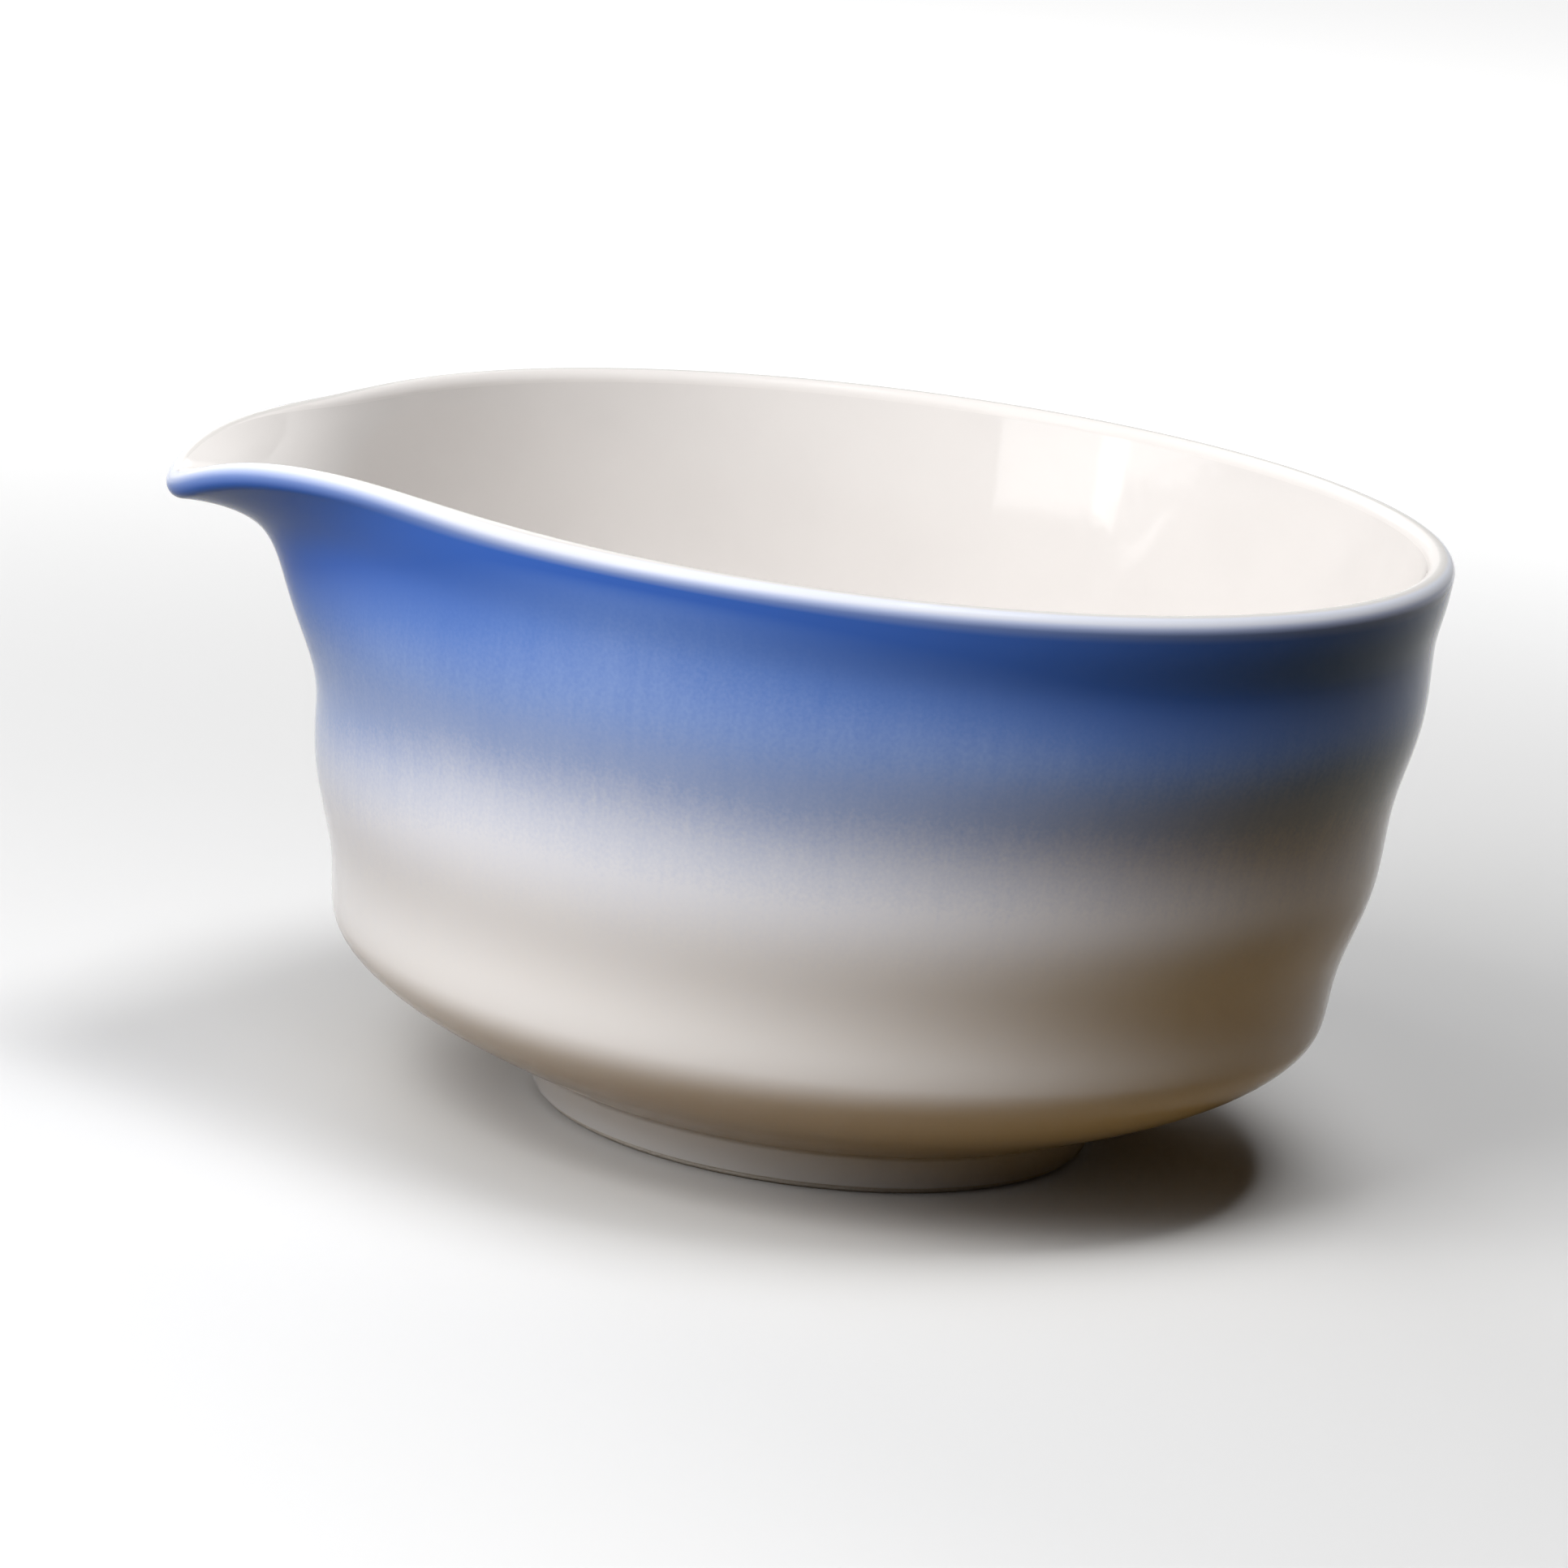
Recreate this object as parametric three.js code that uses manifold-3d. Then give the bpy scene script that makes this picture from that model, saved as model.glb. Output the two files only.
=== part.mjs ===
// A spouted tea bowl in glazed porcelain, in millimetres with +Z up.
// A thrown body carries a pulled spout luted into a notch in its rim and a foot ring luted under its floor.
// Glaze coats lie on the clay: cream inside, white over the rim, blue above and white below outside.
// The spout points along -X, and the origin is under the middle of the bowl's box, on the standing plane.

import * as THREE from "three";
import { mergeVertices } from "three/addons/utils/BufferGeometryUtils.js";
import Module from "manifold-3d";

// Bowl, measured over the glaze; the wall thickens from the rim down to the belly
const RIM_RADIUS = 62.5;
const BOWL_HEIGHT = 71.4;
const BELLY_RADIUS = 55.1;
const BELLY_HEIGHT = 19.1;
const FLOOR = 4.2;
const FLOOR_FILLET = 4;
const WALL = 3;
const BELLY_WALL = 4.7;

// Section of the outside, in degrees: the underside slopes up from the foot, then belly and rim lean out
const UNDERSIDE_SLOPE = 22;
const BELLY_LEAN = 11.5;
const RIM_LEAN = 5.2;

// Fullness of the section's curves: how far each end keeps its direction, as a share of the curve's span
const UNDERSIDE_FULLNESS = 0.68;
const BELLY_FULLNESS = 0.16;
const WALL_FULLNESS = 0.49;

// Throwing ripples on the outside, the top crest measured down from the rim's edge
const RIPPLE_DEPTH = 0.36;
const RIPPLE_PITCH = 19.1;
const RIPPLE_DROP = 15.8;
const RIPPLE_FADE = 8;

// Spout, pulled out of the wall: widths are degrees round the bowl, and the powers shape the pull
const SPOUT_DEPTH = 28.9;
const SPOUT_REACH = 15.4;
const SPOUT_WIDTH = 28.6;
const SPOUT_TAPER = 0.6;
const SPOUT_FALLOFF = 4;
const SPOUT_SWELL_SHARE = 0.56;
const SPOUT_SWELL_POWER = 1.75;
const SPOUT_LIP_POWER = 6.8;
const LIP_DIP = 4.9;
const LIP_DIP_WIDTH = 12.8;
const LIP_DIP_FALLOFF = 3;
const LIP_DIP_POWER = 6;

// Foot ring
const FOOT_RADIUS = 30.5;
const FOOT_FLARE = 2.3;
const FOOT_HEIGHT = 4.8;
const FOOT_WIDTH = 3.5;
const FOOT_CHAMFER = 0.6;
const FOOT_BARE = 0.9;

// Joints and coats
const NOTCH_RADIUS = 27;
const SLIP = 0.4;
const GLAZE = 0.4;
const RIM_BAND = 0.6;
const BLUE_DEPTH = 24;

// Fineness: columns round the bowl, crowded towards the spout, and rows along the section
const COLUMNS = 52;
const CROWDING = 0.55;
const FLOOR_ROWS = 4;
const INNER_BELLY_ROWS = 6;
const INNER_WALL_ROWS = 8;
const RIM_ROWS = 4;
const BLUE_ROWS = 7;
const WHITE_ROWS = 4;
const BELLY_ROWS = 5;
const ROW_GRADING = 1.5;
const NOTCH_SIDES = 48;

const HALF_WALL = WALL / 2;
const CLAY_HALF_WALL = HALF_WALL - GLAZE;
const RIM_EDGE = BOWL_HEIGHT - HALF_WALL;
const FOOT_TOP_RADIUS = FOOT_RADIUS + FOOT_FLARE;
const FOOT_BORE = FOOT_RADIUS - FOOT_WIDTH;
const RIGHT_ANGLE = 90;

// Section curves

// Unit direction in the section, from degrees above the horizontal
function direction(degrees) {
  const angle = THREE.MathUtils.degToRad(degrees);
  return new THREE.Vector2(Math.cos(angle), Math.sin(angle));
}

// A curve between two points that leaves and arrives in the given directions
function sweep(start, startWay, startFullness, end, endWay, endFullness) {
  const span = start.distanceTo(end);
  const leaving = start.clone().addScaledVector(startWay, span * startFullness);
  const arriving = end.clone().addScaledVector(endWay, -span * endFullness);
  return new THREE.CubicBezierCurve(start, leaving, arriving, end);
}

// Outside of the bowl in section: from the foot's crease to the belly, and from the belly to the rim's round
function sectionCurves() {
  const crease = new THREE.Vector2(FOOT_TOP_RADIUS, FOOT_HEIGHT);
  const belly = new THREE.Vector2(BELLY_RADIUS, BELLY_HEIGHT);
  const rimMiddle = new THREE.Vector2(RIM_RADIUS - HALF_WALL, RIM_EDGE);
  const rim = rimMiddle.addScaledVector(direction(-RIM_LEAN), HALF_WALL);
  const underside = direction(UNDERSIDE_SLOPE);
  const bellyUp = direction(RIGHT_ANGLE - BELLY_LEAN);
  const rimUp = direction(RIGHT_ANGLE - RIM_LEAN);
  return {
    belly: sweep(crease, underside, UNDERSIDE_FULLNESS, belly, bellyUp, BELLY_FULLNESS),
    wall: sweep(belly, bellyUp, WALL_FULLNESS, rim, rimUp, WALL_FULLNESS),
  };
}

const curves = sectionCurves();

// Share along a rising curve at which it reaches a height, found by halving
function shareAtHeight(curve, height) {
  const halvings = 40;
  let low = 0;
  let high = 1;
  for (let i = 0; i < halvings; i += 1) {
    const middle = (low + high) / 2;
    if (curve.getPoint(middle).y < height) low = middle;
    else high = middle;
  }
  return low;
}

// Middle of the wall in the section, half a wall inside the outer curve
function middleOfWall(curve, share) {
  const point = curve.getPoint(share);
  const step = 1e-3;
  const along = curve.getPoint(share + step).sub(curve.getPoint(share - step)).normalize();
  const outward = new THREE.Vector2(along.y, -along.x);
  return point.addScaledVector(outward, -HALF_WALL);
}

// Spout

// Bell-shaped weight: 1 at the spout's middle, falling to 0 on either side
function bell(degrees, width, falloff) {
  return (1 + (degrees / width) ** 2) ** -falloff;
}

// A point of the section carried to its column and pulled towards the spout
function pull(point, degrees) {
  const rise = Math.max(1 - (RIM_EDGE - point.y) / SPOUT_DEPTH, 0);
  const swell = SPOUT_SWELL_SHARE * rise ** SPOUT_SWELL_POWER;
  const lip = (1 - SPOUT_SWELL_SHARE) * rise ** SPOUT_LIP_POWER;
  const width = SPOUT_WIDTH * (1 - SPOUT_TAPER * Math.max(1 - rise, 0));
  const reach = SPOUT_REACH * bell(degrees, width, SPOUT_FALLOFF) * (swell + lip);
  const dip = LIP_DIP * bell(degrees, LIP_DIP_WIDTH, LIP_DIP_FALLOFF) * rise ** LIP_DIP_POWER;
  const angle = Math.PI + THREE.MathUtils.degToRad(degrees);
  const radius = point.x + reach;
  return new THREE.Vector3(radius * Math.cos(angle), radius * Math.sin(angle), point.y - dip);
}

// Place on the middle of the wall, with its outward normal and the direction up out of its edge
function wallFrame(curve, share, degrees) {
  const shareStep = 1e-3;
  const degreeStep = 0.05;
  const middle = middleOfWall(curve, share);
  const place = pull(middle, degrees);
  const above = pull(middleOfWall(curve, share + shareStep), degrees);
  const below = pull(middleOfWall(curve, share - shareStep), degrees);
  const ahead = pull(middle, degrees + degreeStep);
  const behind = pull(middle, degrees - degreeStep);
  const around = ahead.sub(behind).normalize();
  const normal = around.clone().cross(above.sub(below)).normalize();
  const edgeUp = normal.clone().cross(around);
  return { place, normal, edgeUp, height: middle.y };
}

// Throwing ripple at a height, fading out at the belly and at the rim
function ripple(height) {
  const phase = (2 * Math.PI * (RIM_EDGE - height - RIPPLE_DROP)) / RIPPLE_PITCH;
  const fadeIn = THREE.MathUtils.smoothstep(height - BELLY_HEIGHT, -RIPPLE_FADE / 2, RIPPLE_FADE / 2);
  const fadeOut = THREE.MathUtils.smoothstep(RIM_EDGE - height, 0, RIPPLE_FADE);
  return RIPPLE_DEPTH * Math.cos(phase) * fadeIn * fadeOut;
}

// Extra thickness inside at a height, growing from the rim down to the belly
function thickening(height) {
  const share = THREE.MathUtils.clamp((RIM_EDGE - height) / (RIM_EDGE - BELLY_HEIGHT), 0, 1);
  return (BELLY_WALL - WALL) * share * (2 - share);
}

// Rings: one point per column, the same columns on every surface

// Degrees from the spout's middle, between -180 and 180, crowded towards the spout
function columnDegrees(column) {
  const turn = (2 * Math.PI * column) / COLUMNS;
  const angle = turn - CROWDING * Math.sin(turn);
  return THREE.MathUtils.radToDeg(angle > Math.PI ? angle - 2 * Math.PI : angle);
}

function ring(pointAt) {
  return Array.from({ length: COLUMNS }, (_, column) => pointAt(columnDegrees(column)));
}

// A level ring of plain turned section, or its point on the axis when the radius is 0
function turnedRing(radius, height) {
  return ring((degrees) => pull(new THREE.Vector2(radius, height), degrees));
}

// Rings on the outside and on the inside, each at a distance from the middle of the wall
function outerRing(curve, share, distance) {
  return ring((degrees) => {
    const { place, normal, height } = wallFrame(curve, share, degrees);
    return place.addScaledVector(normal, distance + ripple(height));
  });
}

function innerRing(curve, share, distance) {
  return ring((degrees) => {
    const { place, normal, height } = wallFrame(curve, share, degrees);
    return place.addScaledVector(normal, -distance - thickening(height));
  });
}

// A ring on the rim's round, at an angle from the outside over the top to the inside
function rimRing(angle, radius) {
  return ring((degrees) => {
    const { place, normal, edgeUp } = wallFrame(curves.wall, 1, degrees);
    place.addScaledVector(normal, radius * Math.cos(angle));
    return place.addScaledVector(edgeUp, radius * Math.sin(angle));
  });
}

// Shares from one end of a row run to the other, both ends included
function shares(from, to, rows, grading = 1) {
  const steps = Array.from({ length: rows + 1 }, (_, row) => (row / rows) ** grading);
  return steps.map((step) => from + (to - from) * step);
}

// Inside: floor and wall, from the axis up to the rim, at a distance inside the middle of the wall
function insideRings(distance, floor) {
  const settle = (point) => {
    const gap = point.z - floor;
    const blend = Math.max(FLOOR_FILLET - Math.abs(gap), 0);
    point.z = floor + Math.max(gap, 0) + blend ** 2 / (4 * FLOOR_FILLET);
    return point;
  };
  const inward = direction(RIGHT_ANGLE + UNDERSIDE_SLOPE);
  const depth = distance + thickening(FOOT_HEIGHT);
  const edge = middleOfWall(curves.belly, 0).addScaledVector(inward, depth);
  const slope = Math.tan(THREE.MathUtils.degToRad(UNDERSIDE_SLOPE));
  const floorRings = shares(0, edge.x, FLOOR_ROWS)
    .slice(0, -1)
    .map((radius) => turnedRing(radius, edge.y - slope * (edge.x - radius)));
  const bellyRings = shares(0, 1, INNER_BELLY_ROWS)
    .slice(0, -1)
    .map((share) => innerRing(curves.belly, share, distance));
  const wallRings = shares(1, 0, INNER_WALL_ROWS, ROW_GRADING)
    .reverse()
    .map((share) => innerRing(curves.wall, share, distance));
  return [...floorRings, ...bellyRings, ...wallRings].map((row) => row.map(settle));
}

// Rim round, from the inside over the top to the outside
function rimRings(radius) {
  return shares(Math.PI, 0, RIM_ROWS).map((angle) => rimRing(angle, radius));
}

const bandShare = shareAtHeight(curves.wall, RIM_EDGE - RIM_BAND);
const fadeShare = shareAtHeight(curves.wall, RIM_EDGE - BLUE_DEPTH);

// Outside from the rim's white band down to the fade, and from the fade down to the foot's crease
function blueRings(distance) {
  const rows = shares(bandShare, fadeShare, BLUE_ROWS, ROW_GRADING);
  return rows.map((share) => outerRing(curves.wall, share, distance));
}

function whiteRings(distance) {
  const wallRows = shares(fadeShare, 0, WHITE_ROWS);
  const bellyRows = shares(1, 0, BELLY_ROWS).slice(1);
  const wallRings = wallRows.map((share) => outerRing(curves.wall, share, distance));
  const bellyRings = bellyRows.map((share) => outerRing(curves.belly, share, distance));
  return [...wallRings, ...bellyRings];
}

// Bodies from rings

// Triangles between neighbouring rings, all split along the same diagonal; rings run round the section
// from the inside over the rim to the outside
function cover(rings, facingOut) {
  const triangles = [];
  const add = (a, b, c) => {
    const flat = a.distanceTo(b) * b.distanceTo(c) * c.distanceTo(a) === 0;
    if (!flat) triangles.push(...(facingOut ? [a, c, b] : [a, b, c]));
  };
  for (let row = 0; row + 1 < rings.length; row += 1) {
    for (let column = 0; column < COLUMNS; column += 1) {
      const next = (column + 1) % COLUMNS;
      add(rings[row][column], rings[row][next], rings[row + 1][next]);
      add(rings[row][column], rings[row + 1][next], rings[row + 1][column]);
    }
  }
  return triangles;
}

function geometryOf(triangles) {
  const geometry = new THREE.BufferGeometry().setFromPoints(triangles);
  return mergeVertices(geometry);
}

// A coat between a glaze surface and the clay under it
function coat(glaze, clay) {
  const last = glaze.length - 1;
  const ends = [
    ...cover([glaze[last], clay[last]], true),
    ...cover([glaze[0], clay[0]], false),
  ];
  return geometryOf([...cover(glaze, true), ...cover(clay, false), ...ends]);
}

// A ring-shaped body whose section closes on itself
function loop(rings) {
  return geometryOf(cover([...rings, rings[0]], true));
}

// Cutting

const wasm = await Module();
wasm.setup();

function solidOf(geometry) {
  const source = geometry.clone();
  source.deleteAttribute("normal");
  source.deleteAttribute("uv");
  const merged = mergeVertices(source);
  const vertProperties = new Float32Array(merged.attributes.position.array);
  const triVerts = new Uint32Array(merged.index.array);
  return new wasm.Manifold(new wasm.Mesh({ numProp: 3, vertProperties, triVerts }));
}

function geometryFrom(solid) {
  const mesh = solid.getMesh();
  const geometry = new THREE.BufferGeometry();
  geometry.setAttribute("position", new THREE.BufferAttribute(mesh.vertProperties, mesh.numProp));
  geometry.setIndex(new THREE.BufferAttribute(mesh.triVerts, 1));
  return geometry;
}

// Round cut from the axis out through the wall under the spout, centred on the rim's edge
function notchCutter(radius) {
  const length = RIM_RADIUS + SPOUT_REACH + WALL;
  const cutter = new THREE.CylinderGeometry(radius, radius, length, NOTCH_SIDES);
  cutter.rotateZ(Math.PI / 2);
  cutter.translate(-length / 2, 0, RIM_EDGE);
  return solidOf(cutter);
}

// Surfaces of the glaze and of the clay

// The body's underside is flat, level with the clay under the crease, and the foot is luted to it
const creaseOut = direction(UNDERSIDE_SLOPE - RIGHT_ANGLE);
const seatHeight = middleOfWall(curves.belly, 0).addScaledVector(creaseOut, CLAY_HALF_WALL).y;
const footTop = seatHeight - SLIP;
const underFloor = seatHeight - GLAZE;

const glazeInside = insideRings(HALF_WALL, underFloor + FLOOR);
const clayInside = insideRings(CLAY_HALF_WALL, underFloor + FLOOR - GLAZE);
const glazeRim = rimRings(HALF_WALL);
const clayRim = rimRings(CLAY_HALF_WALL);
const glazeBlue = blueRings(HALF_WALL);
const clayBlue = blueRings(CLAY_HALF_WALL);
const glazeWhite = whiteRings(HALF_WALL);
const clayWhite = whiteRings(CLAY_HALF_WALL);

// Radius of the glazed outside of the foot at a height
function footRadius(height) {
  return THREE.MathUtils.mapLinear(height, 0, FOOT_HEIGHT, FOOT_RADIUS, FOOT_TOP_RADIUS);
}

const footShoulder = turnedRing(footRadius(footTop) - GLAZE, footTop);
const footBareEdge = turnedRing(footRadius(FOOT_BARE) - GLAZE, FOOT_BARE);
const boreBareEdge = turnedRing(FOOT_BORE, FOOT_BARE);
const boreTop = turnedRing(FOOT_BORE, footTop);
const seatBore = turnedRing(FOOT_BORE, seatHeight);
const seatCentre = turnedRing(0, seatHeight);

function footRing() {
  const bottomOutside = turnedRing(footRadius(0) - GLAZE - FOOT_CHAMFER, 0);
  const bottomInside = turnedRing(FOOT_BORE + FOOT_CHAMFER, 0);
  return loop([footShoulder, footBareEdge, bottomOutside, bottomInside, boreBareEdge, boreTop]);
}

function footSeam() {
  return loop([clayWhite.at(-1), footShoulder, boreTop, seatBore]);
}

// Glaze under the floor and down the bore of the foot
function baseGlaze() {
  const bore = FOOT_BORE - GLAZE;
  const glaze = [turnedRing(bore, FOOT_BARE), turnedRing(bore, underFloor), turnedRing(0, underFloor)];
  return coat(glaze, [boreBareEdge, seatBore, seatCentre]);
}

// White glaze over the lower outside, round the crease and down the foot
function whiteGlaze() {
  const creaseDrop = FOOT_HEIGHT - SLIP;
  const glazeFoot = [
    turnedRing(footRadius(creaseDrop), creaseDrop),
    turnedRing(footRadius(FOOT_BARE), FOOT_BARE),
  ];
  return coat([...glazeWhite, ...glazeFoot], [...clayWhite, footShoulder, footBareEdge]);
}

// Rim glaze over the round and down to the foot of its white band
function rimGlaze() {
  return coat([...glazeRim, glazeBlue[0]], [...clayRim, clayBlue[0]]);
}

// Clay above the foot in one turned piece, before the notch is cut
function thrownClay() {
  const outside = [...clayRim.slice(1), ...clayBlue, ...clayWhite.slice(1)];
  return solidOf(geometryOf(cover([...clayInside, ...outside, seatCentre], true)));
}

const clay = thrownClay();
const notch = notchCutter(NOTCH_RADIUS);
const spoutEdge = notchCutter(NOTCH_RADIUS - SLIP);

// Looks

const PORCELAIN = { color: 0xe9e4dc, roughness: 0.85 };
const SLIP_CLAY = { color: 0xd8d2c8, roughness: 0.9 };
const CREAM = { color: 0xf4f0ed, roughness: 0.12 };
const WHITE = { color: 0xf2f3f6, roughness: 0.12 };
const BLUE = { color: 0x3f62b0, roughness: 0.12 };
const PALE = { color: 0xddd9d8, roughness: 0.14 };

function piece(name, geometry, look) {
  geometry.computeVertexNormals();
  const mesh = new THREE.Mesh(geometry, new THREE.MeshStandardMaterial({ ...look, metalness: 0 }));
  mesh.name = name;
  return mesh;
}

const bowl = new THREE.Group();
bowl.add(
  piece("bowl_body", geometryFrom(clay.subtract(notch)), PORCELAIN),
  piece("spout", geometryFrom(clay.intersect(spoutEdge)), PORCELAIN),
  piece("spout_seam", geometryFrom(clay.intersect(notch.subtract(spoutEdge))), SLIP_CLAY),
  piece("foot_ring", footRing(), PORCELAIN),
  piece("foot_seam", footSeam(), SLIP_CLAY),
  piece("liner_glaze", coat(glazeInside, clayInside), CREAM),
  piece("rim_glaze", rimGlaze(), WHITE),
  piece("blue_glaze", coat(glazeBlue, clayBlue), BLUE),
  piece("white_glaze", whiteGlaze(), PALE),
  piece("base_glaze", baseGlaze(), PALE),
);

// The origin lies under the middle of the whole box
const box = new THREE.Box3().setFromObject(bowl);
bowl.position.set(-(box.min.x + box.max.x) / 2, -(box.min.y + box.max.y) / 2, 0);

export default bowl;
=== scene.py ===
# The looks of a spouted tea bowl in glazed porcelain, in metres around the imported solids.
# The glaze coats and the foot ring are made again as fine surfaces, from the same sizes as the solids.

import math

import bpy
import numpy as np
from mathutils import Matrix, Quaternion, Vector


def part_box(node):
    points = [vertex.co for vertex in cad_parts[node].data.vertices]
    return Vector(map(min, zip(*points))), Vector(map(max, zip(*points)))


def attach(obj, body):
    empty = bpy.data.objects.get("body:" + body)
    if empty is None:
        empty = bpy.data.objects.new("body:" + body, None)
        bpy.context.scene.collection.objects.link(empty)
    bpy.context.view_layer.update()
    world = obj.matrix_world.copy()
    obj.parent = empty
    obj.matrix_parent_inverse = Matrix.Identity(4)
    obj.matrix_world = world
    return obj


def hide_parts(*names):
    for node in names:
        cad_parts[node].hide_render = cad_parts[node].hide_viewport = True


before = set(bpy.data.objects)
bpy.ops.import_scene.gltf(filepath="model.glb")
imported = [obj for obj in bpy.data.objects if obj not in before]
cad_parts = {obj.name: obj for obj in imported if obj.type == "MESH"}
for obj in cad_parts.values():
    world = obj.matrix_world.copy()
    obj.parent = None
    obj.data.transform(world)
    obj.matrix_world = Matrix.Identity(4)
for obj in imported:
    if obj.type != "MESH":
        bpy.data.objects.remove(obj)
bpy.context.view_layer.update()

# Sizes of the solids, in millimetres and degrees

MM = 0.001
RIGHT_ANGLE = 90

RIM_RADIUS = 62.5
BOWL_HEIGHT = 71.4
BELLY_RADIUS = 55.1
BELLY_HEIGHT = 19.1
FLOOR = 4.2
FLOOR_FILLET = 4
WALL = 3
BELLY_WALL = 4.7

UNDERSIDE_SLOPE = 22
BELLY_LEAN = 11.5
RIM_LEAN = 5.2
UNDERSIDE_FULLNESS = 0.68
BELLY_FULLNESS = 0.16
WALL_FULLNESS = 0.49

RIPPLE_DEPTH = 0.36
RIPPLE_PITCH = 19.1
RIPPLE_DROP = 15.8
RIPPLE_FADE = 8

SPOUT_DEPTH = 28.9
SPOUT_REACH = 15.4
SPOUT_WIDTH = 28.6
SPOUT_TAPER = 0.6
SPOUT_FALLOFF = 4
SPOUT_SWELL_SHARE = 0.56
SPOUT_SWELL_POWER = 1.75
SPOUT_LIP_POWER = 6.8
LIP_DIP = 4.9
LIP_DIP_WIDTH = 12.8
LIP_DIP_FALLOFF = 3
LIP_DIP_POWER = 6

FOOT_RADIUS = 30.5
FOOT_FLARE = 2.3
FOOT_HEIGHT = 4.8
FOOT_WIDTH = 3.5
FOOT_CHAMFER = 0.6
FOOT_BARE = 0.9

GLAZE = 0.4
RIM_BAND = 0.6
BLUE_DEPTH = 24

HALF_WALL = WALL / 2
CLAY_HALF_WALL = HALF_WALL - GLAZE
RIM_EDGE = BOWL_HEIGHT - HALF_WALL
FOOT_TOP_RADIUS = FOOT_RADIUS + FOOT_FLARE
FOOT_BORE = FOOT_RADIUS - FOOT_WIDTH

# Fineness: columns round the bowl, crowded towards the spout,
# and rows along each stretch of the section

COLUMNS = 240
CROWDING = 0.55
FLOOR_ROWS = 14
INNER_BELLY_ROWS = 24
INNER_WALL_ROWS = 44
RIM_ROWS = 14
BAND_ROWS = 4
BLUE_ROWS = 52
WHITE_ROWS = 44
BELLY_ROWS = 36
FOOT_ROWS = 8
EDGE_ROWS = 5
BORE_ROWS = 6
BASE_ROWS = 10
HIDDEN_MAP_SHARE = 0.04
SHARP_ANGLE = math.radians(50)

# The bowl's own axis, under which the foot stands

foot_low, foot_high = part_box("foot_ring")
AXIS = (foot_low.x + foot_high.x) / 2

turns = 2 * np.pi * np.arange(COLUMNS) / COLUMNS
column_angles = turns - CROWDING * np.sin(turns)
DEGREES = np.degrees(np.where(column_angles > np.pi, column_angles - 2 * np.pi, column_angles))

# Section curves, as radius and height


def direction(degrees):
    """Unit direction in the section, from degrees above the horizontal."""
    angle = math.radians(degrees)
    return np.array([math.cos(angle), math.sin(angle)])


def sweep(start, start_way, start_fullness, end, end_way, end_fullness):
    """Control points of a curve that leaves and arrives in the given directions."""
    span = np.linalg.norm(end - start)
    leaving = start + start_way * span * start_fullness
    arriving = end - end_way * span * end_fullness
    return np.array([start, leaving, arriving, end])


def curve_point(curve, share):
    near = np.asarray(share, float)[..., None]
    far = 1 - near
    ends = far**3 * curve[0] + near**3 * curve[3]
    return ends + 3 * far * near * (far * curve[1] + near * curve[2])


def curve_way(curve, share):
    near = np.asarray(share, float)[..., None]
    far = 1 - near
    steps = np.diff(curve, axis=0)
    way = far**2 * steps[0] + 2 * far * near * steps[1] + near**2 * steps[2]
    return way / np.linalg.norm(way, axis=-1, keepdims=True)


def section_curves():
    """The outside: from the foot's crease to the belly, and from the belly to the rim's round."""
    crease = np.array([FOOT_TOP_RADIUS, FOOT_HEIGHT])
    belly = np.array([BELLY_RADIUS, BELLY_HEIGHT])
    rim = np.array([RIM_RADIUS - HALF_WALL, RIM_EDGE]) + direction(-RIM_LEAN) * HALF_WALL
    underside = direction(UNDERSIDE_SLOPE)
    belly_up = direction(RIGHT_ANGLE - BELLY_LEAN)
    rim_up = direction(RIGHT_ANGLE - RIM_LEAN)
    lower = sweep(crease, underside, UNDERSIDE_FULLNESS, belly, belly_up, BELLY_FULLNESS)
    upper = sweep(belly, belly_up, WALL_FULLNESS, rim, rim_up, WALL_FULLNESS)
    return lower, upper


belly_curve, wall_curve = section_curves()


def share_at_height(curve, height):
    """Share along a rising curve at which it reaches a height, found by halving."""
    halvings = 40
    low, high = 0.0, 1.0
    for _ in range(halvings):
        middle = (low + high) / 2
        if curve_point(curve, middle)[1] < height:
            low = middle
        else:
            high = middle
    return low


def middle_of_wall(curve, share):
    """Middle of the wall in the section, half a wall inside the outer curve."""
    way = curve_way(curve, share)
    outward = np.stack([way[..., 1], -way[..., 0]], -1)
    return curve_point(curve, share) - HALF_WALL * outward


# Spout


def bell(degrees, width, falloff):
    """Bell-shaped weight: 1 at the spout's middle, falling to 0 on either side."""
    return (1 + (degrees / width) ** 2) ** -falloff


def pull(point, degrees):
    """Points of the section carried to their columns and pulled towards the spout."""
    radius, height = point[..., 0], point[..., 1]
    rise = np.maximum(1 - (RIM_EDGE - height) / SPOUT_DEPTH, 0)
    swell = SPOUT_SWELL_SHARE * rise**SPOUT_SWELL_POWER
    lip = (1 - SPOUT_SWELL_SHARE) * rise**SPOUT_LIP_POWER
    width = SPOUT_WIDTH * (1 - SPOUT_TAPER * np.maximum(1 - rise, 0))
    reach = SPOUT_REACH * bell(degrees, width, SPOUT_FALLOFF) * (swell + lip)
    dip = LIP_DIP * bell(degrees, LIP_DIP_WIDTH, LIP_DIP_FALLOFF) * rise**LIP_DIP_POWER
    angle = np.pi + np.radians(degrees)
    out = radius + reach
    return np.stack([out * np.cos(angle), out * np.sin(angle), height - dip], -1)


def unit(vectors):
    return vectors / np.linalg.norm(vectors, axis=-1, keepdims=True)


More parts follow.
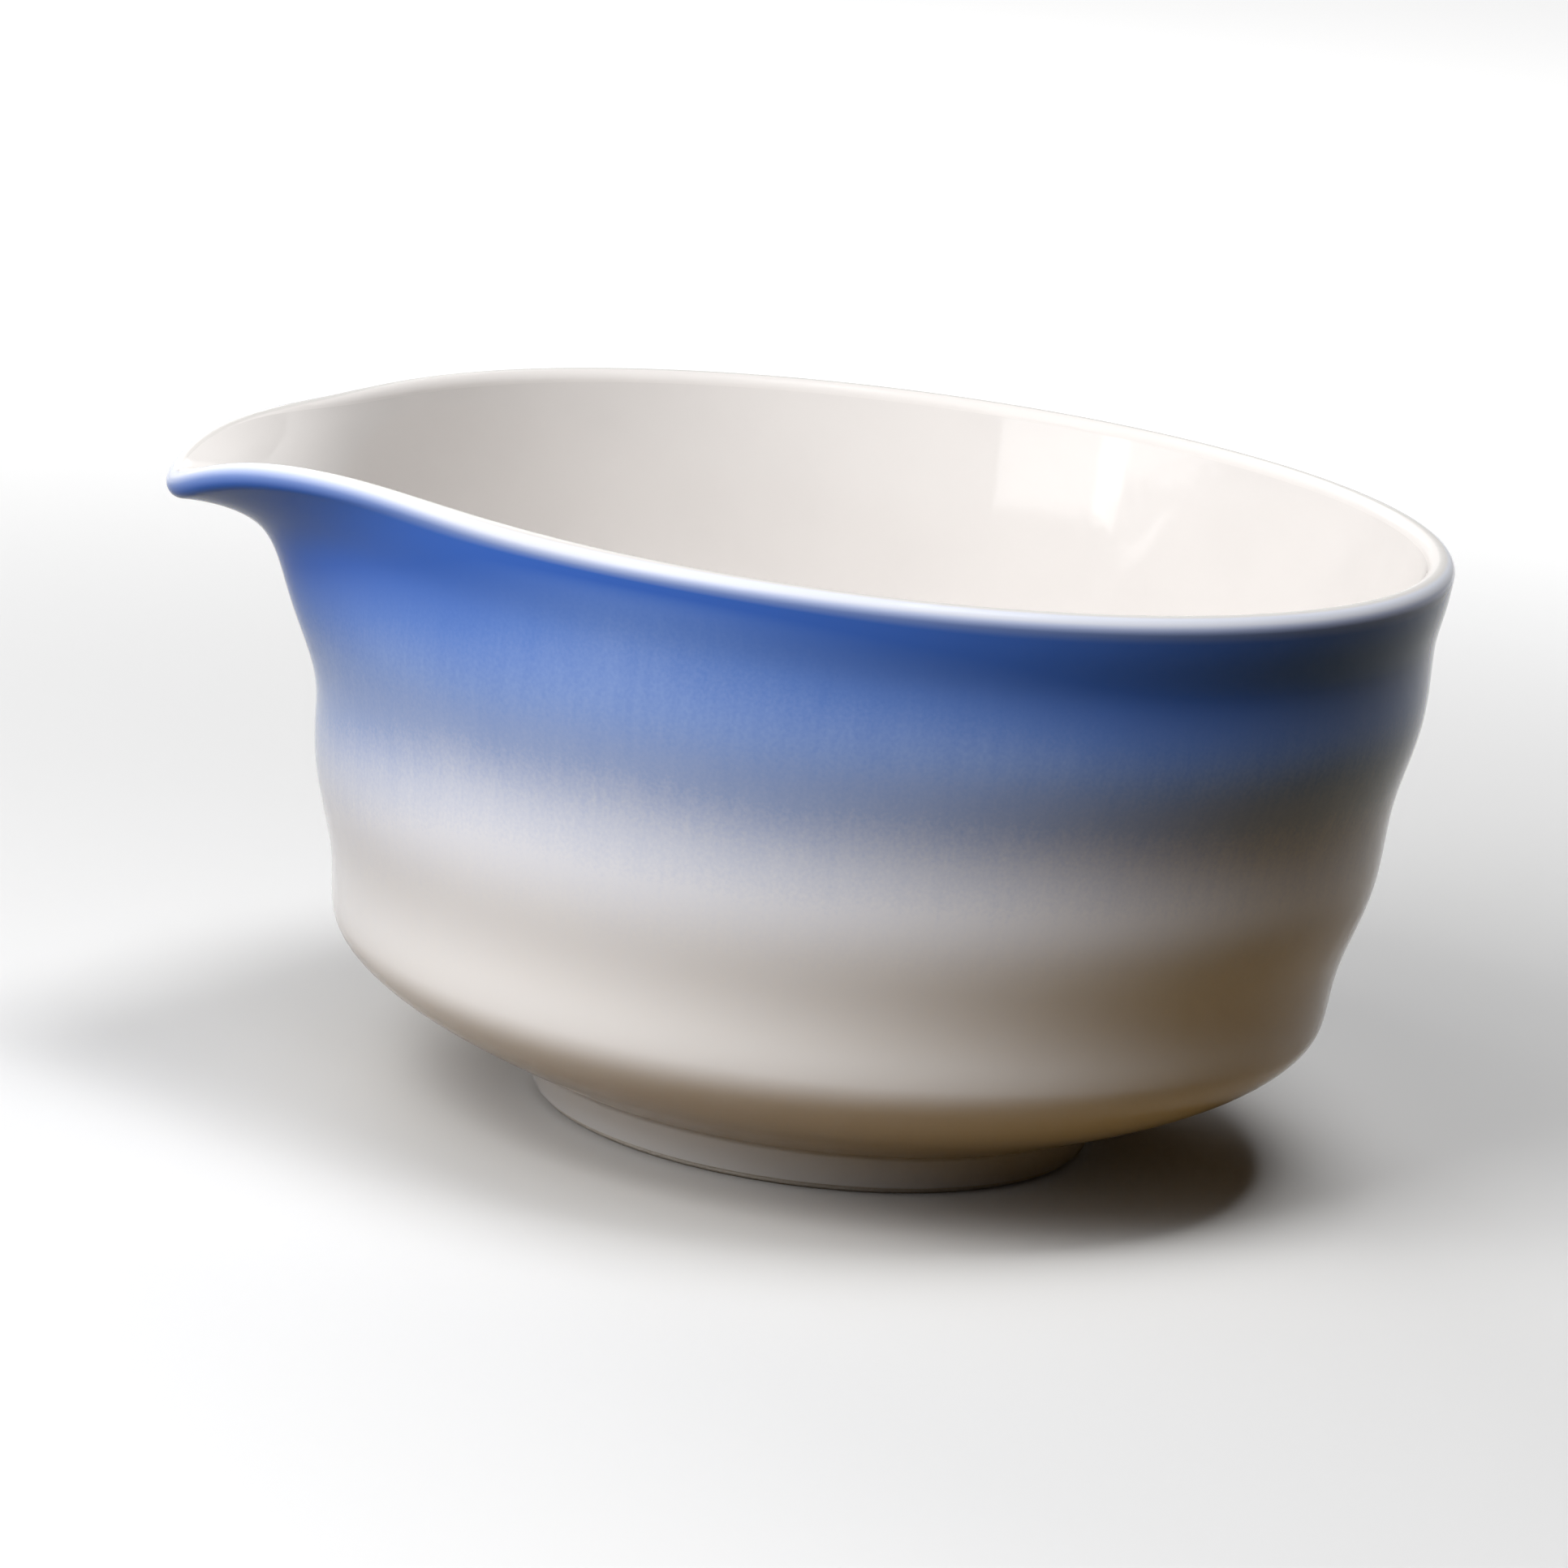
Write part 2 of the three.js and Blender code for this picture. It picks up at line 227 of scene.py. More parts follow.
def wall_frame(curve, shares):
    """On the middle of the wall: places, outward normals, ways up out of the edge, plain heights."""
    share_step = 1e-3
    degree_step = 0.05
    share = np.asarray(shares, float)[:, None]
    middle = middle_of_wall(curve, share)
    above = pull(middle_of_wall(curve, share + share_step), DEGREES)
    below = pull(middle_of_wall(curve, share - share_step), DEGREES)
    around = unit(pull(middle, DEGREES + degree_step) - pull(middle, DEGREES - degree_step))
    normal = unit(np.cross(around, above - below))
    return pull(middle, DEGREES), normal, np.cross(normal, around), middle[..., 1]


def smoothstep(value, low, high):
    share = np.clip((value - low) / (high - low), 0, 1)
    return share * share * (3 - 2 * share)


def ripple(height):
    """Throwing ripple at a height, fading out at the belly and at the rim."""
    phase = 2 * np.pi * (RIM_EDGE - height - RIPPLE_DROP) / RIPPLE_PITCH
    fade_in = smoothstep(height - BELLY_HEIGHT, -RIPPLE_FADE / 2, RIPPLE_FADE / 2)
    fade_out = smoothstep(RIM_EDGE - height, 0, RIPPLE_FADE)
    return RIPPLE_DEPTH * np.cos(phase) * fade_in * fade_out


def thickening(height):
    """Extra thickness inside at a height, growing from the rim down to the belly."""
    share = np.clip((RIM_EDGE - height) / (RIM_EDGE - BELLY_HEIGHT), 0, 1)
    return (BELLY_WALL - WALL) * share * (2 - share)


# Rings: one point per column, the same columns on every surface,
# with each ring's drop below the rim's edge


class Skin:
    """Rings along a surface, and how far below the rim's edge each one lies before the lip dips."""

    def __init__(self, rings, drops):
        self.rings = np.asarray(rings, float)
        self.drops = np.asarray(drops, float)

    def __add__(self, other):
        rings = np.concatenate([self.rings, other.rings])
        return Skin(rings, np.concatenate([self.drops, other.drops]))

    def back(self):
        return Skin(self.rings[::-1], self.drops[::-1])


def turned(points):
    """Level rings of plain turned section."""
    points = np.asarray(points, float)
    return Skin(pull(points[:, None], DEGREES), RIM_EDGE - points[:, 1])


def outer_skin(curve, shares, distance):
    """Rings on the outside, a distance from the middle of the wall."""
    place, normal, _, height = wall_frame(curve, shares)
    offset = distance + ripple(height)
    return Skin(place + normal * offset[..., None], RIM_EDGE - height[:, 0])


def inner_skin(curve, shares, distance):
    """Rings on the inside, a distance from the middle of the wall."""
    place, normal, _, height = wall_frame(curve, shares)
    offset = distance + thickening(height)
    return Skin(place - normal * offset[..., None], RIM_EDGE - height[:, 0])


def rim_skin(radius):
    """The rim's round, from the inside over the top to the outside."""
    place, normal, edge_up, _ = wall_frame(wall_curve, [1])
    angles = np.linspace(np.pi, 0, RIM_ROWS + 1)[:, None, None]
    rings = place + radius * (normal * np.cos(angles) + edge_up * np.sin(angles))
    return Skin(rings, -radius * angles[:, 0, 0])


def inside_skin(distance, floor):
    """Floor and wall, from the axis up to the rim, at a distance inside the middle of the wall."""
    depth = distance + thickening(FOOT_HEIGHT)
    edge = middle_of_wall(belly_curve, 0) + direction(RIGHT_ANGLE + UNDERSIDE_SLOPE) * depth
    slope = math.tan(math.radians(UNDERSIDE_SLOPE))
    radii = np.linspace(0, edge[0], FLOOR_ROWS + 1)[:-1]
    floor_skin = turned(np.stack([radii, edge[1] - slope * (edge[0] - radii)], -1))
    belly_shares = np.linspace(0, 1, INNER_BELLY_ROWS + 1)[:-1]
    belly_skin = inner_skin(belly_curve, belly_shares, distance)
    upper_skin = inner_skin(wall_curve, np.linspace(0, 1, INNER_WALL_ROWS + 1), distance)
    skin = floor_skin + belly_skin + upper_skin
    gap = skin.rings[..., 2] - floor
    blend = np.maximum(FLOOR_FILLET - np.abs(gap), 0)
    skin.rings[..., 2] = floor + np.maximum(gap, 0) + blend**2 / (4 * FLOOR_FILLET)
    return skin


band_share = share_at_height(wall_curve, RIM_EDGE - RIM_BAND)
fade_share = share_at_height(wall_curve, RIM_EDGE - BLUE_DEPTH)


def band_skin(distance):
    return outer_skin(wall_curve, np.linspace(1, band_share, BAND_ROWS + 1)[1:], distance)


def blue_skin(distance):
    return outer_skin(wall_curve, np.linspace(band_share, fade_share, BLUE_ROWS + 1), distance)


def white_skin(distance):
    upper = outer_skin(wall_curve, np.linspace(fade_share, 0, WHITE_ROWS + 1), distance)
    lower = outer_skin(belly_curve, np.linspace(1, 0, BELLY_ROWS + 1)[1:], distance)
    return upper + lower


def foot_radius(height):
    """Radius of the glazed outside of the foot at a height."""
    return FOOT_RADIUS + FOOT_FLARE * height / FOOT_HEIGHT


def foot_side(heights, inset):
    """Rings on the outside of the foot, inset from its glaze."""
    heights = np.asarray(heights, float)
    return turned(np.stack([foot_radius(heights) - inset, heights], -1))


# Spray: how the blue lies unevenly, in millimetres of drop and in degrees from the spout's middle

RIM_SPRAY = 6
THIN_SPRAY = 0.5
THIN_AT = 40
THIN_WIDTH = 18
LIP_SPRAY = 2.2
LIP_SPRAY_FALLOFF = 2
DEEP_SPRAY = 8
DEEP_SPRAY_WIDTH = 34
DEEPEST_DROP = 2
FAR_SPRAY = 4
FAR_SPRAY_FROM = 80
FAR_SPRAY_FULL = 115
FAR_SPRAY_END = 30
# Painted light: the blue is paled about 57 degrees either side of the spout, where the front-left
# catches the most light.
PAINTED_LIGHT_PALING = 5
PAINTED_LIGHT_FROM = 3
PAINTED_LIGHT_TO = 17
PAINTED_LIGHT_AT = 57
PAINTED_LIGHT_WIDTH = 17


def sprayed_drop(drop):
    """The drop that sets the colour, per column.

    The blue is heavier under the spout and on the half away from it. Between them, about 57 degrees
    either side of the spout, the blue is paled as painted light, where the front-left catches the most
    light.
    The white line of the rim is narrower on the lip, and wider beside it.
    """
    below = smoothstep(drop, 0, RIM_SPRAY)
    thin = THIN_SPRAY * np.exp(-((np.abs(DEGREES) - THIN_AT) / THIN_WIDTH) ** 2)
    lip = LIP_SPRAY * bell(DEGREES, SPOUT_WIDTH, LIP_SPRAY_FALLOFF)
    deep = DEEP_SPRAY * bell(DEGREES, DEEP_SPRAY_WIDTH, LIP_SPRAY_FALLOFF)
    far_half = FAR_SPRAY * smoothstep(np.abs(DEGREES), FAR_SPRAY_FROM, FAR_SPRAY_FULL)
    far_half *= 1 - smoothstep(drop, RIM_SPRAY, FAR_SPRAY_END)
    heavy = np.maximum(drop - (deep + far_half) * below, min(drop, DEEPEST_DROP))
    # Painted light: paler blue where the front-left catches the most light.
    painted_light_patch = PAINTED_LIGHT_PALING * np.exp(-((np.abs(DEGREES) - PAINTED_LIGHT_AT) / PAINTED_LIGHT_WIDTH) ** 2)
    painted_light = painted_light_patch * smoothstep(drop, 0, PAINTED_LIGHT_FROM) * (1 - smoothstep(drop, PAINTED_LIGHT_FROM, PAINTED_LIGHT_TO))
    return heavy + painted_light + (lip - thin) * (1 - below)


# Meshes; a ring smaller than ON_AXIS, in millimetres, is one point on the axis

ON_AXIS = 0.001


def loft(name, skin, hidden_from):
    """A closed mesh of rings in order round the section; from hidden_from on they lie on the clay."""
    count = len(skin.rings)
    on_axis = np.ptp(skin.rings, axis=1).max(axis=1) < ON_AXIS
    closing = not (on_axis[0] and on_axis[-1])
    first = np.concatenate([[0], np.cumsum(np.where(on_axis, 1, COLUMNS))])
    columns = np.arange(COLUMNS)
    index = first[:-1, None] + np.where(on_axis[:, None], 0, columns)
    points = [ring[:1] if axis else ring for ring, axis in zip(skin.rings, on_axis)]
    drops = np.concatenate([sprayed_drop(d)[:len(p)] for p, d in zip(points, skin.drops)])
    vertices = np.concatenate(points) * MM
    vertices[:, 0] += AXIS

    lengths = np.linalg.norm(np.diff(skin.rings, axis=0), axis=-1).mean(axis=1)
    lengths[hidden_from - 1:] *= HIDDEN_MAP_SHARE
    along = np.concatenate([[0], np.cumsum(lengths)])
    along /= along[-1] * (1 + HIDDEN_MAP_SHARE)

    faces, corners = [], []
    for row in range(count if closing else count - 1):
        below = (row + 1) % count
        if on_axis[row] and on_axis[below]:
            continue
        top_map, low_map = along[row], along[below] if below else 1.0
        for column in columns:
            following = (column + 1) % COLUMNS
            left, right = column / COLUMNS, (column + 1) / COLUMNS
            here, there = index[row], index[below]
            face = [here[column], there[column], there[following], here[following]]
            spots = [(left, top_map), (left, low_map), (right, low_map), (right, top_map)]
            if on_axis[row]:
                face, spots = face[:3], spots[:3]
            elif on_axis[below]:
                face, spots = [face[0], face[1], face[3]], [spots[0], spots[1], spots[3]]
            faces.append(face)
            corners.extend(spots)

    mesh = bpy.data.meshes.new(name)
    mesh.from_pydata(vertices.tolist(), [], faces)
    mesh.attributes.new("drop", "FLOAT", "POINT").data.foreach_set("value", drops.astype(np.float32))
    layer = mesh.uv_layers.new(name="OFBake")
    layer.uv.foreach_set("vector", np.array(corners, np.float32).ravel())
    mesh.polygons.foreach_set("use_smooth", [True] * len(mesh.polygons))
    mesh.set_sharp_from_angle(angle=SHARP_ANGLE)
    mesh.update()
    made = bpy.data.objects.new(name, mesh)
    bpy.context.scene.collection.objects.link(made)
    return made


def coat(name, glaze, clay):
    """A coat between a glaze surface and the clay under it."""
    return loft(name, glaze + clay.back(), len(glaze.rings))


# Materials

WHITE = (1, 1, 1, 1)
NOISE_LOW = 0.25
NOISE_HIGH = 0.75


def add_node(tree, kind, **settings):
    made = tree.nodes.new(kind)
    for setting, value in settings.items():
        setattr(made, setting, value)
    return made


def shader_material(name, roughness, ior):
    material = bpy.data.materials.new(name)
    material.use_nodes = True
    tree = material.node_tree
    shader = tree.nodes["Principled BSDF"]
    shader.inputs["Roughness"].default_value = roughness
    shader.inputs["IOR"].default_value = ior
    return material, tree, shader


def noise(tree, size, detail=2.0, stretch=1.0):
    """Noise from about -1 to 1, with features of that size in millimetres, drawn out upwards."""
    place = add_node(tree, "ShaderNodeTexCoord")
    mapping = add_node(tree, "ShaderNodeMapping")
    mapping.inputs["Scale"].default_value = (1, 1, 1 / stretch)
    texture = add_node(tree, "ShaderNodeTexNoise")
    texture.inputs["Scale"].default_value = 1 / (size * MM)
    texture.inputs["Detail"].default_value = detail
    spread = add_node(tree, "ShaderNodeMapRange", clamp=False)
    spread.inputs["From Min"].default_value = NOISE_LOW
    spread.inputs["From Max"].default_value = NOISE_HIGH
    spread.inputs["To Min"].default_value = -1
    tree.links.new(place.outputs["Object"], mapping.inputs["Vector"])
    tree.links.new(mapping.outputs["Vector"], texture.inputs["Vector"])
    tree.links.new(texture.outputs["Fac"], spread.inputs["Value"])
    return spread.outputs["Result"]


def weighted(tree, base, addition, weight):
    """base plus addition times weight."""
    sum_node = add_node(tree, "ShaderNodeMath", operation="MULTIPLY_ADD")
    sum_node.inputs[1].default_value = weight
    tree.links.new(addition, sum_node.inputs[0])
    tree.links.new(base, sum_node.inputs[2])
    return sum_node.outputs["Value"]


def scaled(tree, value, weight):
    product = add_node(tree, "ShaderNodeMath", operation="MULTIPLY")
    product.inputs[1].default_value = weight
    tree.links.new(value, product.inputs[0])
    return product.outputs["Value"]


def ramp(tree, value, low, high, stops):
    """Colours along a value that runs from low to high; each stop is a value and a colour."""
    spread = add_node(tree, "ShaderNodeMapRange")
    spread.inputs["From Min"].default_value = low
    spread.inputs["From Max"].default_value = high
    colours = add_node(tree, "ShaderNodeValToRGB")
    elements = colours.color_ramp.elements
    while len(elements) < len(stops):
        elements.new(1.0)
    for element, (at, colour) in zip(elements, stops):
        element.position = (at - low) / (high - low)
        element.color = (*colour, 1)
    tree.links.new(value, spread.inputs["Value"])
    tree.links.new(spread.outputs["Result"], colours.inputs["Fac"])
    return colours.outputs["Color"]


def add_bump(tree, shader, height, depth):
    """A bump of the given depth in millimetres."""
    bump = add_node(tree, "ShaderNodeBump")
    bump.inputs["Strength"].default_value = 1
    bump.inputs["Distance"].default_value = depth * MM
    tree.links.new(height, bump.inputs["Height"])
    tree.links.new(bump.outputs["Normal"], shader.inputs["Normal"])


GLAZE_ROUGHNESS = 0.07
GLAZE_IOR = 1.5
OUTSIDE_SPECULAR = 0.06
PEEL_SIZE = 5
PEEL_DEPTH = 0.006

RIM_CREAM = (0.78, 0.75, 0.73)
# Painted shade: a thin tan line along the top of the rim's round, where it turns from the cream inside
# to the white.
RIM_PAINTED_SHADE = (0.62, 0.60, 0.58)
RIM_WHITE = (0.68, 0.71, 0.80)
RIM_HAZE = (0.42, 0.50, 0.74)
RIM_FADE = (0.17, 0.27, 0.61)
DEEP_BLUE = (0.043, 0.135, 0.54)
CLEAR_BLUE = (0.12, 0.235, 0.63)
SKY_BLUE = (0.225, 0.345, 0.70)
PALE_BLUE = (0.35, 0.455, 0.75)
GREY_BLUE = (0.60, 0.66, 0.825)
LILAC_WHITE = (0.78, 0.81, 0.895)
COOL_WHITE = (0.855, 0.87, 0.91)
WARM_WHITE = (0.885, 0.882, 0.89)
FADE_STOPS = [
    (-3.0, RIM_CREAM),
    # Painted shade: the tan line on top of the rim's round, between the cream inside and the white
    # line.
    (-2.7, RIM_PAINTED_SHADE),
    (-2.1, RIM_PAINTED_SHADE),
    (-1.8, RIM_WHITE),
    (-1.0, RIM_WHITE),
    (-0.5, RIM_HAZE),
    (0.1, RIM_FADE),
    (1.0, DEEP_BLUE),
    (3.0, DEEP_BLUE),
    (9.0, CLEAR_BLUE),
    (14.0, SKY_BLUE),
    (20.0, PALE_BLUE),
    (25.5, GREY_BLUE),
    (31.0, LILAC_WHITE),
    (38.0, COOL_WHITE),
    (46.0, WARM_WHITE),
]
FADE_TOP = -4
FADE_BOTTOM = 48

DRIFT_SIZE = 22
DRIFT = 1.0
STREAK_SIZE = 1.3
STREAK_STRETCH = 14
STREAK = 0.65
SPECKLE_SIZE = 0.42
SPECKLE = 1.1
SPECKLE_FROM = 3
SPECKLE_FULL = 14


def outside_glaze():
    """Blue sprayed thick under the rim and thinning to white, under clear glaze."""
    material, tree, shader = shader_material("outside_glaze", GLAZE_ROUGHNESS, GLAZE_IOR)
    shader.inputs["Specular IOR Level"].default_value = OUTSIDE_SPECULAR
    drop = add_node(tree, "ShaderNodeAttribute", attribute_name="drop").outputs["Fac"]
    streak = noise(tree, STREAK_SIZE, stretch=STREAK_STRETCH)
    drift = scaled(tree, noise(tree, DRIFT_SIZE), DRIFT)
    streaked = weighted(tree, drift, streak, STREAK)
    unevenness = weighted(tree, streaked, noise(tree, SPECKLE_SIZE), SPECKLE)
    grow = add_node(tree, "ShaderNodeMapRange", interpolation_type="SMOOTHSTEP")
    grow.inputs["From Min"].default_value = SPECKLE_FROM
    grow.inputs["From Max"].default_value = SPECKLE_FULL
    tree.links.new(drop, grow.inputs["Value"])
    sprayed = add_node(tree, "ShaderNodeMath", operation="MULTIPLY_ADD")
    tree.links.new(unevenness, sprayed.inputs[0])
    tree.links.new(grow.outputs["Result"], sprayed.inputs[1])
    tree.links.new(drop, sprayed.inputs[2])
    colour = ramp(tree, sprayed.outputs["Value"], FADE_TOP, FADE_BOTTOM, FADE_STOPS)
    tree.links.new(colour, shader.inputs["Base Color"])
    add_bump(tree, shader, noise(tree, PEEL_SIZE), PEEL_DEPTH)
    return material


CREAM_DARK = (0.755, 0.726, 0.707)
CREAM_LIGHT = (0.785, 0.756, 0.736)
CREAM_SIZE = 16


def cream_glaze():
    """Clear gloss over cream white, faintly uneven."""
    material, tree, shader = shader_material("cream_glaze", GLAZE_ROUGHNESS, GLAZE_IOR)
    colour = ramp(tree, noise(tree, CREAM_SIZE), -1, 1, [(-1, CREAM_DARK), (1, CREAM_LIGHT)])
    tree.links.new(colour, shader.inputs["Base Color"])
    add_bump(tree, shader, noise(tree, PEEL_SIZE), PEEL_DEPTH)
    return material


CLAY_ROUGHNESS = 0.85
CLAY_DARK = (0.66, 0.62, 0.56)
CLAY_LIGHT = (0.76, 0.72, 0.66)
SLIP_DARK = (0.58, 0.53, 0.47)
SLIP_LIGHT = (0.68, 0.63, 0.57)
GRAIN_SIZE = 0.35
GRAIN_DEPTH = 0.03
GRAIN_DETAIL = 4


def bare_clay(name, dark, light):
    """Bare fired clay, matt and finely grained."""
    material, tree, shader = shader_material(name, CLAY_ROUGHNESS, GLAZE_IOR)
    grain = noise(tree, GRAIN_SIZE, GRAIN_DETAIL)
    tree.links.new(ramp(tree, grain, -1, 1, [(-1, dark), (1, light)]), shader.inputs["Base Color"])
    add_bump(tree, shader, grain, GRAIN_DEPTH)
    return material


def finish_piece(piece, material, node):
    piece.data.materials.clear()
    piece.data.materials.append(material)
    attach(piece, "root")
    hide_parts(node)


# The pieces

crease_out = direction(UNDERSIDE_SLOPE - RIGHT_ANGLE)
seat_height = (middle_of_wall(belly_curve, 0) + crease_out * CLAY_HALF_WALL)[1]
under_floor = seat_height - GLAZE

outside = outside_glaze()
cream = cream_glaze()
porcelain = bare_clay("porcelain", CLAY_DARK, CLAY_LIGHT)
slip = bare_clay("slip", SLIP_DARK, SLIP_LIGHT)


def make_liner():
    glaze = inside_skin(HALF_WALL, under_floor + FLOOR)
    clay = inside_skin(CLAY_HALF_WALL, under_floor + FLOOR - GLAZE)
    finish_piece(coat("liner_coat", glaze, clay), cream, "liner_glaze")


def make_rim():
    glaze = rim_skin(HALF_WALL) + band_skin(HALF_WALL)
    clay = rim_skin(CLAY_HALF_WALL) + band_skin(CLAY_HALF_WALL)
    finish_piece(coat("rim_coat", glaze, clay), outside, "rim_glaze")


def make_blue():
    made = coat("blue_coat", blue_skin(HALF_WALL), blue_skin(CLAY_HALF_WALL))
    finish_piece(made, outside, "blue_glaze")


def make_white():
    heights = np.linspace(FOOT_HEIGHT, FOOT_BARE, FOOT_ROWS + 1)[1:]
    glaze = white_skin(HALF_WALL) + foot_side(heights, 0)
    clay = white_skin(CLAY_HALF_WALL) + foot_side(heights, GLAZE)
    finish_piece(coat("white_coat", glaze, clay), outside, "white_glaze")


def make_base():
    heights = np.linspace(FOOT_BARE, under_floor, BORE_ROWS + 1)
    bore = FOOT_BORE - GLAZE
    radii = np.linspace(bore, 0, BASE_ROWS + 1)[1:]
    glaze = turned([(bore, h) for h in heights]) + turned([(r, under_floor) for r in radii])
    clay_heights = np.linspace(FOOT_BARE, seat_height, BORE_ROWS + 1)
    clay_radii = np.linspace(FOOT_BORE, 0, BASE_ROWS + 1)[1:]
    clay_bore = turned([(FOOT_BORE, h) for h in clay_heights])
    clay = clay_bore + turned([(r, seat_height) for r in clay_radii])
    finish_piece(coat("base_coat", glaze, clay), outside, "base_glaze")


def make_foot():
    """Bare foot ring, its lower edges eased and its top against the slip under the floor."""
    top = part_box("foot_ring")[1].z / MM
    side = foot_side(np.linspace(top, FOOT_BARE, FOOT_ROWS + 1), GLAZE)
    eased = np.linspace(0, np.pi / 2, EDGE_ROWS + 1)[1:]
    outer_edge = foot_radius(FOOT_BARE) - GLAZE
    rounding = FOOT_RADIUS - GLAZE - FOOT_CHAMFER
    outer = [
        (rounding + (outer_edge - rounding) * math.cos(a), FOOT_BARE * (1 - math.sin(a))) for a in eased
    ]
    inner = [
        (FOOT_BORE + FOOT_CHAMFER * (1 - math.sin(a)), FOOT_BARE * (1 - math.cos(a))) for a in eased
    ]
    landing = [(FOOT_BORE + FOOT_CHAMFER, 0.0)]
    bore = [(FOOT_BORE, h) for h in np.linspace(FOOT_BARE, top, FOOT_ROWS + 1)[1:]]
    skin = side + turned(outer + landing + inner + bore)
    finish_piece(loft("foot_ring_turned", skin, len(skin.rings)), porcelain, "foot_ring")


make_liner()
make_rim()
make_blue()
make_white()
make_base()
make_foot()

for node, clay_material in [
    ("bowl_body", porcelain),
    ("spout", porcelain),
    ("spout_seam", slip),
    ("foot_seam", slip),
]:
    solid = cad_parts[node]
    solid.data.materials.clear()
    solid.data.materials.append(clay_material)

# Camera, at the photograph's angle

SENSOR_WIDTH = 36
IMAGE_PIXELS = 1932
FOCAL_PIXELS = 8200
AXIS_PIXEL = (1043.3, 985.9)
AXIS_HEIGHT = 0.0357
CAMERA_AZIMUTH = -10.8
CAMERA_ELEVATION = 13.33
CAMERA_ROLL = 6.89
CAMERA_DISTANCE = 0.7327


def away(azimuth, elevation):
    """Unit direction from the bowl; azimuth 0 is the side that faces -Y."""
    a, e = math.radians(azimuth), math.radians(elevation)
    return Vector((math.sin(a) * math.cos(e), -math.cos(a) * math.cos(e), math.sin(e)))


def make_camera():
    """The point on the bowl's axis at AXIS_HEIGHT lands on AXIS_PIXEL."""
    data = bpy.data.cameras.new("camera")
    data.sensor_width = SENSOR_WIDTH
    data.lens = SENSOR_WIDTH * FOCAL_PIXELS / IMAGE_PIXELS
    camera = bpy.data.objects.new("camera", data)
    bpy.context.scene.collection.objects.link(camera)
    back = away(CAMERA_AZIMUTH, CAMERA_ELEVATION)
    level = (-back).to_track_quat("-Z", "Y")
    turned_camera = level @ Quaternion((0, 0, 1), math.radians(CAMERA_ROLL))
    right = turned_camera @ Vector((1, 0, 0))
    up = turned_camera @ Vector((0, 1, 0))
    pixel = CAMERA_DISTANCE / FOCAL_PIXELS
    middle = IMAGE_PIXELS / 2
    aim = Vector((AXIS, 0, AXIS_HEIGHT))
    aim -= right * (AXIS_PIXEL[0] - middle) * pixel
    aim += up * (AXIS_PIXEL[1] - middle) * pixel
    camera.rotation_mode = "QUATERNION"
    camera.rotation_quaternion = turned_camera
    camera.location = aim + back * CAMERA_DISTANCE
    bpy.context.scene.camera = camera


make_camera()

# Floor and light

FLOOR_RADIUS = 2.6
SWEEP_RADIUS = 1.2
BACKDROP_HEIGHT = 3.2
STAGE_SIDES = 96
SWEEP_STEPS = 16
STAGE_ROUGHNESS = 1
FLOOR_PALE = (0.72, 0.72, 0.72, 1)
FLOOR_BOUNCE = (0.15, 0.09, 0.03, 1)
FAR_FROM = 0.13
FAR_FULL = 0.7
FAR_GLOW = 0.75
WORLD_FILL = 0.01


def background_rays(tree):
    """1 for rays that show the background: from the camera, off a gloss or through a clear surface."""
    path = add_node(tree, "ShaderNodeLightPath")
    shown = path.outputs["Is Camera Ray"]
    for other in ("Is Glossy Ray", "Is Transmission Ray"):
        both = add_node(tree, "ShaderNodeMath", operation="MAXIMUM")
        tree.links.new(shown, both.inputs[0])
        tree.links.new(path.outputs[other], both.inputs[1])
        shown = both.outputs["Value"]
    return shown


def stage_material():
    """Pale where it is seen, also far off, and a dull warm grey in the light that it throws back."""
    material, tree, shader = shader_material("stage", STAGE_ROUGHNESS, GLAZE_IOR)
    shader.inputs["Specular IOR Level"].default_value = 0
    mixed = add_node(tree, "ShaderNodeMix", data_type="RGBA")
    mixed.inputs["A"].default_value = FLOOR_BOUNCE
    mixed.inputs["B"].default_value = FLOOR_PALE
    shown = background_rays(tree)
    tree.links.new(shown, mixed.inputs["Factor"])
    tree.links.new(mixed.outputs["Result"], shader.inputs["Base Color"])
    distance = add_node(tree, "ShaderNodeVectorMath", operation="LENGTH")
    place = add_node(tree, "ShaderNodeNewGeometry").outputs["Position"]
    tree.links.new(place, distance.inputs[0])
    far = add_node(tree, "ShaderNodeMapRange", interpolation_type="SMOOTHSTEP")
    far.inputs["From Min"].default_value = FAR_FROM
    far.inputs["From Max"].default_value = FAR_FULL
    far.inputs["To Max"].default_value = FAR_GLOW
    tree.links.new(distance.outputs["Value"], far.inputs["Value"])
    glow = add_node(tree, "ShaderNodeMath", operation="MULTIPLY")
    tree.links.new(far.outputs["Result"], glow.inputs[0])
    tree.links.new(shown, glow.inputs[1])
    shader.inputs["Emission Color"].default_value = WHITE
    tree.links.new(glow.outputs["Value"], shader.inputs["Emission Strength"])
    return material


